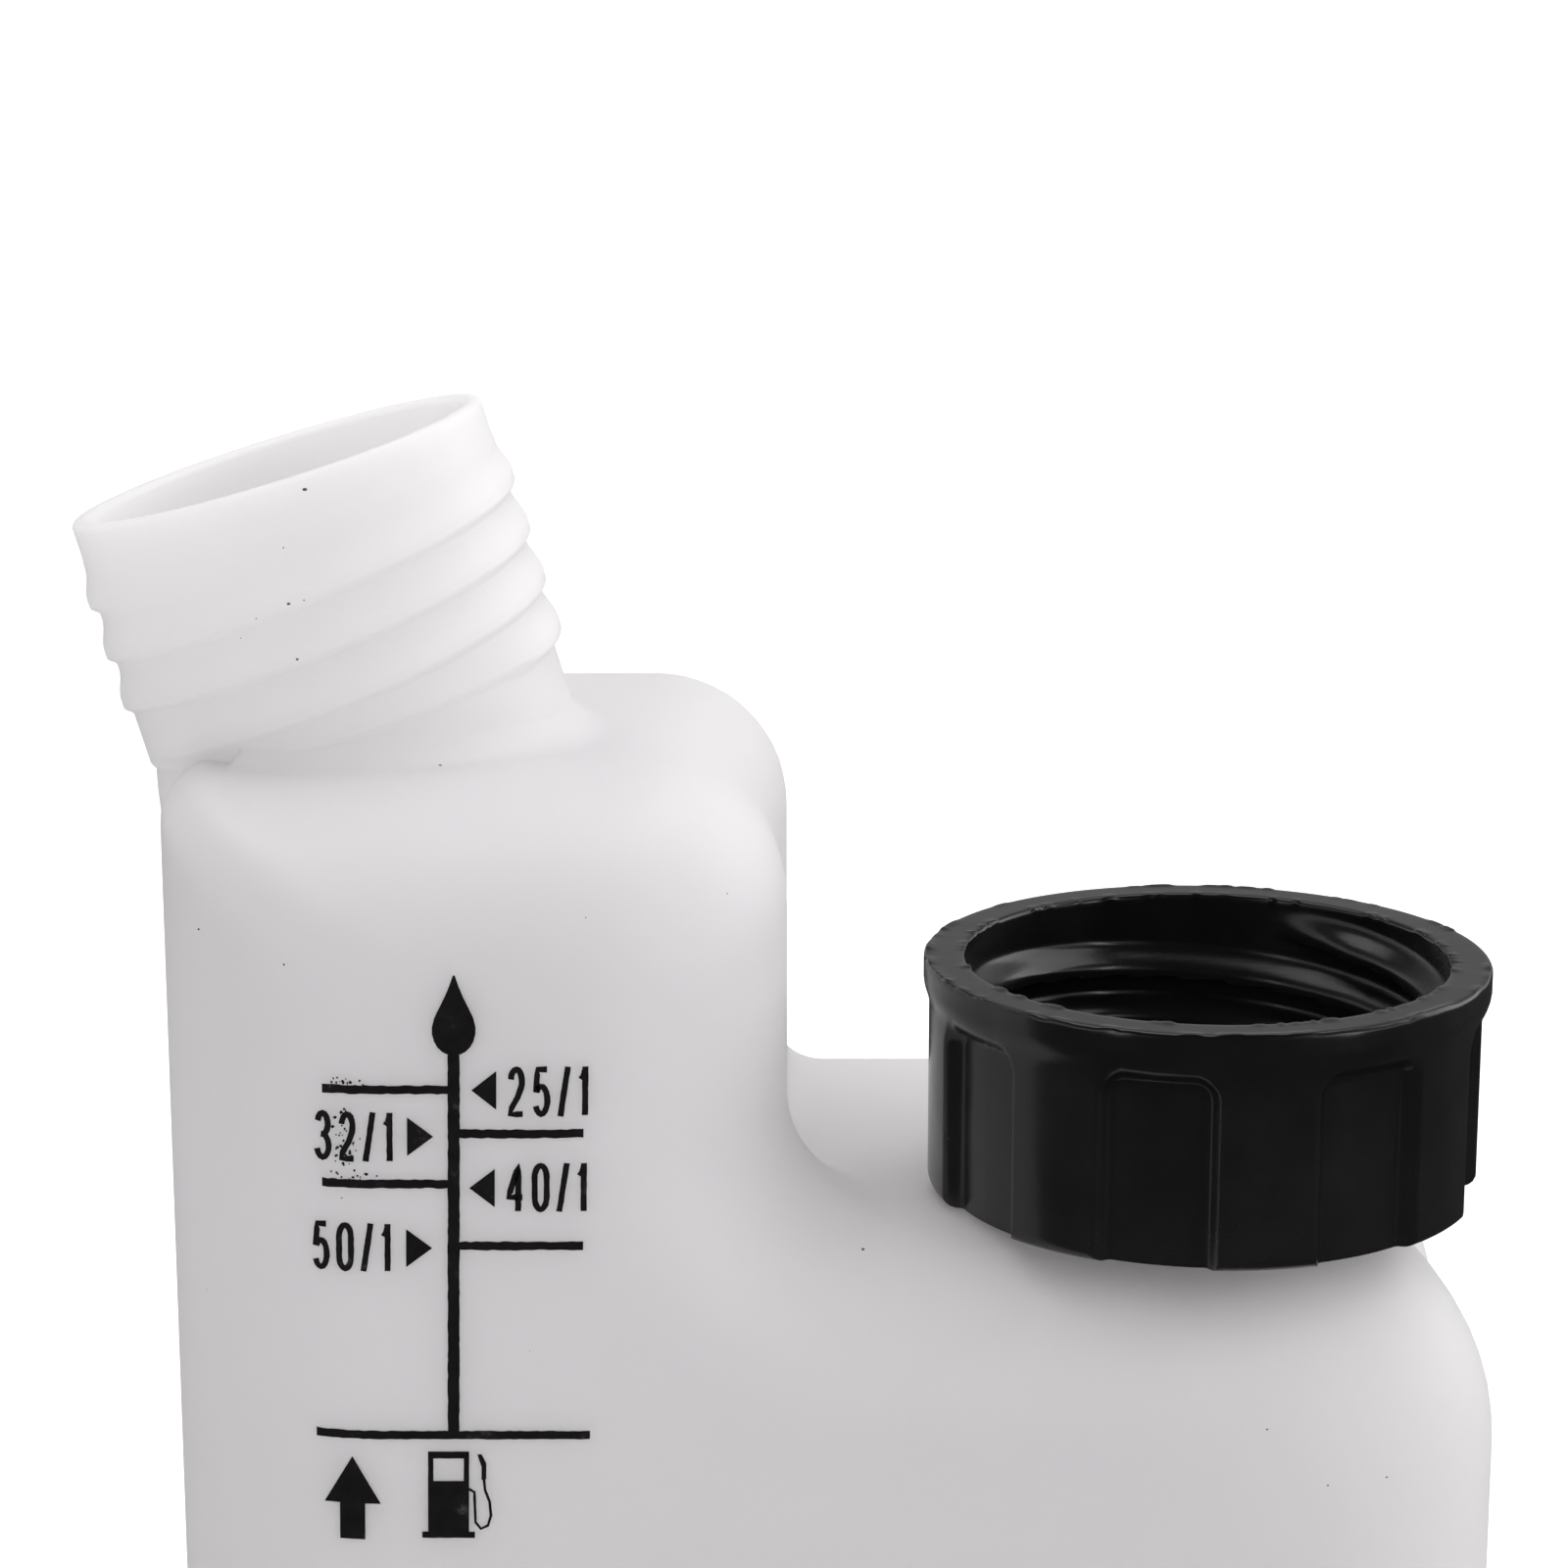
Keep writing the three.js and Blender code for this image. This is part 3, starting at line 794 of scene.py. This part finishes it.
def dress(piece, material, node):
    """Gives a piece its material and its body, and hides the solid it stands for, if any."""
    piece.data.materials.clear()
    piece.data.materials.append(material)
    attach(piece, "root")
    if node:
        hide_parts(node)


# Printed mixing scale, on the front of the column: marks as u, v from the foot of the bar

PRINT_FOOT = (-27.5, 126.3)
PRINT_LEAN = 0.0188
INK_LIFT = 0.02
INK_THICK = 0.05
BAR_HALF = 0.49
BAR_HEIGHT = 33.1
LINE_HALF = 0.36
STROKE_HALF = 0.25
ARROWHEAD_HALF = 1.62
POINT_WIDTH = 0.05
INK_SEED = 11

# Ratio lines: side, far end, height
RATIO_LINES = ((-1, 10.9, 29.95), (-1, 10.95, 21.8), (1, 10.7, 26.15), (1, 10.75, 16.4))

# Numbers: text, left, foot, right, top
NUMBERS = (
    ("25/1", 4.4, 27.6, 11.2, 31.95),
    ("40/1", 4.3, 19.35, 11.15, 23.65),
    ("32/1", -11.6, 23.7, -4.9, 28.05),
    ("50/1", -11.85, 14.1, -5.1, 18.4),
)

# Arrowheads: tip, base, height
ARROWHEADS = ((1.46, 3.5, 29.9), (1.3, 3.4, 21.45), (-1.7, -3.85, 25.9), (-1.8, -3.95, 16.2))

# The drop's half width at heights above the bar's end
DROP = (
    (0.0, 0.55),
    (0.2, 0.95),
    (0.6, 1.35),
    (1.1, 1.62),
    (1.7, 1.78),
    (2.3, 1.79),
    (3.1, 1.6),
    (3.95, 1.2),
    (4.9, 0.74),
    (5.8, 0.38),
    (6.7, 0.08),
)

# Smudges of ink: how many flecks, round which place, how far spread, how large
SMUDGES = (
    (46, (-8.9, 25.2), (0.55, 1.6), 0.17),
    (30, (-8.6, 30.3), (0.8, 0.35), 0.13),
    (26, (-8.4, 22.3), (1.0, 0.35), 0.13),
)


def arc(cx, cy, rx, ry, start, end, steps=10):
    """Points along part of an ellipse, from one angle to another in degrees."""
    angles = np.radians(np.linspace(start, end, steps + 1))
    return [(cx + rx * math.cos(a), cy + ry * math.sin(a)) for a in angles]


# Each sign: its width, and its strokes' middle lines in a box one unit high and one wide
ZERO = arc(0.5, 0.72, 0.5, 0.28, 0, 180) + arc(0.5, 0.28, 0.5, 0.28, 180, 360) + [(1, 0.72)]
ONE_FLAG = [(0.05, 0.76), (0.45, 0.84), (0.72, 1.0)]
ONE_STEM = [(0.72, 1.04), (0.72, -0.04)]
TWO_FOOT = [(0.62, 0.38), (0.12, 0.14), (0.0, 0.0), (1.04, 0.0)]
TWO = arc(0.5, 0.73, 0.46, 0.27, 170, -30) + TWO_FOOT
THREE_TOP = arc(0.48, 0.76, 0.44, 0.24, 165, -80) + [(0.32, 0.53)]
THREE_FOOT = [(0.32, 0.53)] + arc(0.48, 0.26, 0.5, 0.26, 80, -165)
FOUR = [(0.72, -0.04), (0.72, 1.0), (0.0, 0.28), (1.04, 0.28)]
FIVE = [(0.95, 1.0), (0.18, 1.0), (0.06, 0.5)] + arc(0.5, 0.31, 0.5, 0.31, 140, -155, 14)
SLASH = [(0.0, -0.05), (1.0, 1.05)]
SIGNS = {
    "0": (1.5, [ZERO]),
    "1": (1.0, [ONE_FLAG, ONE_STEM]),
    "2": (1.5, [TWO]),
    "3": (1.5, [THREE_TOP, THREE_FOOT]),
    "4": (1.6, [FOUR]),
    "5": (1.5, [FIVE]),
    "/": (1.1, [SLASH]),
}


def surface_finder(piece):
    """Returns a function that gives the front surface's y, in millimetres, at x and z."""
    tree = surface_tree(piece, 1.0)
    start = -(BODY_DEPTH + 50) * MM

    def front(x, z):
        hit = tree.ray_cast(Vector((x * MM, start, z * MM)), Vector((0, 1, 0)))
        return hit[0].y / MM if hit[0] is not None else -BODY_DEPTH / 2

    return front


class Printing:
    """Thin closed shapes laid on the front surface, collected into one mesh."""

    def __init__(self, front, seed):
        self.work = bmesh.new()
        self.front = front
        self.random = np.random.RandomState(seed)

    def shape(self, points, faces):
        """Faces on the surface and just above it, and walls round the edge between them."""
        low, high = [], []
        lift = INK_LIFT + self.random.uniform(0, 0.01)
        for u, v in points:
            x = PRINT_FOOT[0] + u + PRINT_LEAN * v
            z = PRINT_FOOT[1] + v
            y = self.front(x, z)
            low.append(self.work.verts.new((x * MM, y * MM, z * MM)))
            high.append(self.work.verts.new((x * MM, (y - lift - INK_THICK) * MM, z * MM)))
        edges = set()
        for face in faces:
            self.work.faces.new([high[i] for i in face])
            self.work.faces.new([low[i] for i in reversed(face)])
            edges.update(zip(face, face[1:] + face[:1]))
        for a, b in edges:
            if (b, a) not in edges:
                self.work.faces.new([high[b], high[a], low[a], low[b]])

    def rows(self, rows, columns=4):
        """A shape given as rows of height, left end and right end."""
        fine = []
        for low, high in zip(rows[:-1], rows[1:]):
            parts = max(1, int(abs(high[0] - low[0]) / 0.5))
            fine += [[lerp(a, b, k / parts) for a, b in zip(low, high)] for k in range(parts)]
        fine.append(rows[-1])
        points = []
        for v, left, right in fine:
            points += [(lerp(left, right, c / columns), v) for c in range(columns + 1)]
        faces = []
        for r in range(len(fine) - 1):
            for c in range(columns):
                a = r * (columns + 1) + c
                faces.append([a, a + 1, a + columns + 2, a + columns + 1])
        self.shape(points, faces)

    def polygon(self, points):
        self.shape(points, [list(range(len(points)))])

    def stroke(self, path, half, uneven=0.03):
        """A line of even width along a path, with slightly ragged edges."""
        path = np.array(path, float)
        fine = [path[0]]
        for a, b in zip(path[:-1], path[1:]):
            parts = max(1, int(np.linalg.norm(b - a) / 0.45))
            fine += [lerp(a, b, k / parts) for k in range(1, parts + 1)]
        path = np.array(fine)
        along = np.gradient(path, axis=0)
        along /= np.linalg.norm(along, axis=1)[:, None] + 1e-9
        across = np.stack([-along[:, 1], along[:, 0]], 1)
        widths = half + self.random.uniform(-uneven, uneven, (2, len(path), 1))
        points = np.concatenate([path + across * widths[0], path - across * widths[1]])
        n = len(path)
        faces = [[i, i + 1, n + i + 1, n + i] for i in range(n - 1)]
        self.shape([tuple(p) for p in points], faces)

    def sign(self, text, left, foot, right, top):
        """Plain narrow figures, spread between left and right."""
        widths = [SIGNS[letter][0] for letter in text]
        gap = (right - left - sum(widths)) / (len(text) - 1)
        at = left
        for letter, width in zip(text, widths):
            for path in SIGNS[letter][1]:
                placed = []
                for u, v in path:
                    x = at + STROKE_HALF + u * (width - 2 * STROKE_HALF)
                    y = foot + STROKE_HALF + v * (top - foot - 2 * STROKE_HALF)
                    placed.append((x, y))
                self.stroke(placed, STROKE_HALF, 0.02)
            at += width + gap

    def flecks(self, count, centre, spread, size):
        """Small specks of ink where the print has smudged."""
        for _ in range(count):
            u, v = self.random.normal(centre, spread)
            radius = self.random.uniform(0.4, 1.0) * size
            turns = np.linspace(0, 2 * math.pi, 7)[:-1]
            ragged = radius * self.random.uniform(0.5, 1.2, 6)
            rim = [(u + r * math.cos(a), v + r * math.sin(a)) for r, a in zip(ragged, turns)]
            self.polygon(rim)

    def finish(self, name):
        bmesh.ops.recalc_face_normals(self.work, faces=self.work.faces)
        return add_worked(name, self.work)


def make_scale(front):
    """The oil marks: a drop on a bar, four ratio lines, and the fuel line under them."""
    ink = Printing(front, INK_SEED)
    ink.stroke([(0, 0), (0, BAR_HEIGHT + 0.5)], BAR_HALF)
    ink.stroke([(-11.6, -LINE_HALF), (11.45, -LINE_HALF)], LINE_HALF)
    ink.rows([(BAR_HEIGHT - 0.1 + v, -half, half) for v, half in DROP])
    for side, end, v in RATIO_LINES:
        ink.stroke([(0, v), (side * end, v)], LINE_HALF, 0.05)
    for text, left, foot, right, top in NUMBERS:
        ink.sign(text, left, foot, right, top)
    for tip, base, v in ARROWHEADS:
        draw_arrowhead(ink, tip, base, v)
    draw_fuel_signs(ink)
    for count, centre, spread, size in SMUDGES:
        ink.flecks(count, centre, spread, size)
    return ink.finish("mixing_scale")


def draw_arrowhead(ink, tip, base, v):
    """A solid triangle that points left or right."""
    left, right = min(tip, base), max(tip, base)
    if tip < base:
        point = (right - POINT_WIDTH, right)
    else:
        point = (left, left + POINT_WIDTH)
    ink.rows([(v - ARROWHEAD_HALF, *point), (v, left, right), (v + ARROWHEAD_HALF, *point)])


def draw_fuel_signs(ink):
    """Under the fuel line: an arrow pointing up at it, and a plain fuel pump."""
    middle, tip, shoulder, foot = -8.55, -2.4, -6.55, -9.8
    head_half, shaft_half, tip_half = 2.4, 1.08, 0.03
    shaft = (middle - shaft_half, middle + shaft_half)
    head = (middle - head_half, middle + head_half)
    ink.rows([(shoulder, *head), (tip, middle - tip_half, middle + tip_half)])
    ink.rows([(foot, *shaft), (shoulder + 0.1, *shaft)])
    left, right, top, base = -2.15, 1.3, -1.85, -9.1
    window_top, window_low = -2.45, -4.5
    post = 0.22
    roof = (window_top + top) / 2
    ink.stroke([(left - 0.5, base - 0.25), (right + 0.5, base - 0.25)], 0.27)
    ink.rows([(base, left, right), (window_low, left, right)])
    ink.stroke([(left + post, window_low - 0.1), (left + post, top)], post, 0.01)
    ink.stroke([(right - post, window_low - 0.1), (right - post, top)], post, 0.01)
    ink.stroke([(left, roof), (right, roof)], 0.3, 0.01)
    nozzle = [(2.0, -2.1), (2.35, -2.1), (2.75, -2.9), (2.75, -4.3), (2.35, -4.4), (2.35, -3.2)]
    ink.polygon(nozzle)
    hose = [(right, -5.2), (1.75, -5.5), (1.8, -6.8), (1.85, -8.2), (2.3, -8.8), (2.9, -8.5)]
    hose += [(3.15, -7.6), (3.05, -6.4), (2.65, -5.3), (2.55, -4.3)]
    ink.stroke(hose, 0.11, 0.01)


# Specks of dirt, as x and z on the front, and their size

SPECK_SEED = 4
SPECK_SCALE = 0.75
SPECK_FLATNESS = 0.35
SPECKS = (
    (-37.84, 206.1, 0.17),
    (-42.2, 198.0, 0.08),
    (-41.8, 193.3, 0.14),
    (-41.2, 188.5, 0.13),
    (-48.5, 168.0, 0.14),
    (-40.8, 166.5, 0.13),
    (-29.3, 179.0, 0.13),
    (-16.0, 170.4, 0.10),
    (-4.5, 170.7, 0.09),
    (6.8, 142.4, 0.16),
    (40.9, 126.1, 0.10),
    (46.2, 121.0, 0.12),
    (51.4, 121.0, 0.11),
    (-44.6, 192.0, 0.07),
    (-46.1, 190.1, 0.07),
    (-40.5, 193.6, 0.08),
    (-21.0, 133.4, 0.06),
    (-49.0, 136.0, 0.06),
)


def make_specks(front):
    """Flattened grains on the front surface."""
    work = bmesh.new()
    random = np.random.RandomState(SPECK_SEED)
    for x, z, size in SPECKS:
        radius = size * SPECK_SCALE * MM
        made = bmesh.ops.create_icosphere(work, subdivisions=2, radius=radius)
        y = front(x, z)
        stretch = random.uniform(0.7, 1.6)
        for vert in made["verts"]:
            vert.co.x *= stretch
            vert.co.y *= SPECK_FLATNESS
            vert.co += Vector((x, y, z)) * MM
    piece = add_worked("specks", work)
    shade(piece, 60)
    return piece


# Setting

ROOM_LIGHT = 1.27
FLOOR_HALF = 30.0
FLOOR_GLOW = 0.4

# Lamps, in metres and watts: name, place, size, power
LAMP_AIM = (0, 0, 0.12)
LAMPS = (
    ("right_softbox", (0.75, 0.25, 0.55), (0.6, 0.9), 2.8),
    ("top_softbox", (-0.05, 0.25, 0.95), (0.9, 0.6), 3.0),
    ("front_left_strip", (-0.55, -0.7, 0.3), (0.07, 0.8), 0.5),
    ("front_right_strip", (0.75, -0.55, 0.3), (0.08, 0.8), 0.9),
)


def add_camera():
    """In front of the bottle, a little above it and pitched down."""
    data = bpy.data.cameras.new("camera")
    data.sensor_width = SENSOR_MM
    data.lens = FOCAL_PIXELS / FRAME_PIXELS * SENSOR_MM
    data.clip_start = 0.01
    camera = add_object("camera", data)
    x, y, z = CAMERA_AIM
    back = CAMERA_DISTANCE * math.cos(CAMERA_PITCH)
    up = CAMERA_DISTANCE * math.sin(CAMERA_PITCH)
    camera.location = (x * MM, (y - back) * MM, (z + up) * MM)
    camera.rotation_euler = (math.pi / 2 - CAMERA_PITCH, 0, 0)
    bpy.context.scene.camera = camera


def add_floor():
    """A white floor that keeps the shadow, and is dark in reflections."""
    size = FLOOR_HALF
    mesh = bpy.data.meshes.new("floor")
    corners = [(-size, -size, 0), (size, -size, 0), (size, size, 0), (-size, size, 0)]
    mesh.from_pydata(corners, [], [(0, 1, 2, 3)])
    floor = add_object("floor", mesh)
    material, nodes, links, shader = new_material("floor")
    shader.inputs["Base Color"].default_value = (0.80, 0.80, 0.80, 1)
    shader.inputs["Roughness"].default_value = 0.9
    glow = nodes.new("ShaderNodeEmission")
    path = nodes.new("ShaderNodeLightPath")
    seen = nodes.new("ShaderNodeMath")
    seen.operation = "MULTIPLY"
    seen.inputs[1].default_value = FLOOR_GLOW
    links.new(path.outputs["Is Camera Ray"], seen.inputs[0])
    links.new(seen.outputs["Value"], glow.inputs["Strength"])
    both = nodes.new("ShaderNodeAddShader")
    links.new(shader.outputs["BSDF"], both.inputs[0])
    links.new(glow.outputs["Emission"], both.inputs[1])
    dark = nodes.new("ShaderNodeEmission")
    dark.inputs["Color"].default_value = (0.05, 0.05, 0.05, 1)
    mirrored = nodes.new("ShaderNodeMixShader")
    links.new(path.outputs["Is Glossy Ray"], mirrored.inputs["Fac"])
    links.new(both.outputs["Shader"], mirrored.inputs[1])
    links.new(dark.outputs["Emission"], mirrored.inputs[2])
    links.new(mirrored.outputs["Shader"], nodes["Material Output"].inputs["Surface"])
    mesh.materials.append(material)


def add_world():
    """A pale room: soft light all round, white to the eye, and dark in front for reflections."""
    world = bpy.data.worlds.new("room")
    world.use_nodes = True
    bpy.context.scene.world = world
    nodes, links = world.node_tree.nodes, world.node_tree.links
    light = nodes["Background"]
    light.inputs["Strength"].default_value = ROOM_LIGHT
    white = nodes.new("ShaderNodeBackground")
    white.inputs["Color"].default_value = (1, 1, 1, 1)
    white.inputs["Strength"].default_value = 1.0
    mirrored = nodes.new("ShaderNodeBackground")
    mirrored.inputs["Strength"].default_value = 1.0
    place = nodes.new("ShaderNodeTexCoord")
    parts = nodes.new("ShaderNodeSeparateXYZ")
    links.new(place.outputs["Generated"], parts.inputs["Vector"])
    width = nodes.new("ShaderNodeMath")
    width.operation = "ABSOLUTE"
    links.new(parts.outputs["X"], width.inputs[0])
    across = nodes.new("ShaderNodeMapRange")
    across.inputs["From Min"].default_value = -1.0
    links.new(parts.outputs["X"], across.inputs["Value"])
    right_stops = [(0.0, grey(0.56)), (0.5, grey(0.70)), (0.8, grey(0.95)), (1.0, grey(1.0))]
    toward_right = ramp_node(nodes, links, across.outputs["Result"], right_stops)
    links.new(toward_right, light.inputs["Color"])
    side_stops = [(0.0, grey(0.01)), (0.4, grey(0.05)), (0.75, grey(0.9)), (1.0, grey(1.0))]
    sides = ramp_node(nodes, links, width.outputs["Value"], side_stops)
    back_stops = [(0.0, grey(0.0)), (0.6, grey(0.04)), (1.0, grey(0.4))]
    back = ramp_node(nodes, links, parts.outputs["Y"], back_stops)
    low_stops = [(0.0, grey(1.0)), (0.3, grey(1.0)), (0.6, grey(0.12)), (1.0, grey(0.1))]
    low = ramp_node(nodes, links, parts.outputs["Z"], low_stops)
    walls = nodes.new("ShaderNodeVectorMath")
    walls.operation = "MULTIPLY"
    links.new(sides, walls.inputs[0])
    links.new(low, walls.inputs[1])
    both = nodes.new("ShaderNodeVectorMath")
    links.new(walls.outputs["Vector"], both.inputs[0])
    links.new(back, both.inputs[1])
    links.new(both.outputs["Vector"], mirrored.inputs["Color"])
    path = nodes.new("ShaderNodeLightPath")
    glossy = nodes.new("ShaderNodeMixShader")
    links.new(path.outputs["Is Glossy Ray"], glossy.inputs["Fac"])
    links.new(light.outputs["Background"], glossy.inputs[1])
    links.new(mirrored.outputs["Background"], glossy.inputs[2])
    mix = nodes.new("ShaderNodeMixShader")
    links.new(path.outputs["Is Camera Ray"], mix.inputs["Fac"])
    links.new(glossy.outputs["Shader"], mix.inputs[1])
    links.new(white.outputs["Background"], mix.inputs[2])
    links.new(mix.outputs["Shader"], nodes["World Output"].inputs["Surface"])


def add_lamp(name, place, size, power):
    """A rectangular lamp turned toward the object."""
    data = bpy.data.lights.new(name, "AREA")
    data.shape = "RECTANGLE"
    data.size, data.size_y = size
    data.energy = power
    lamp = add_object(name, data)
    lamp.location = place
    toward = Vector(LAMP_AIM) - Vector(place)
    lamp.rotation_euler = toward.to_track_quat("-Z", "Y").to_euler()


add_camera()
add_world()
for lamp_name, lamp_place, lamp_size, lamp_power in LAMPS:
    add_lamp(lamp_name, lamp_place, lamp_size, lamp_power)
add_floor()

bottle = make_bottle()
front_y = surface_finder(bottle)
cap = make_cap()
seal = make_seal()
ink = make_scale(front_y)
specks = make_specks(front_y)

dress(bottle, blown_plastic(), "bottle")
dress(cap, black_plastic(), "cap")
dress(seal, seal_rubber(), "cap_seal")
dress(ink, printing_ink(), None)
dress(specks, dirt(), None)

bpy.context.scene.view_settings.view_transform = "Standard"
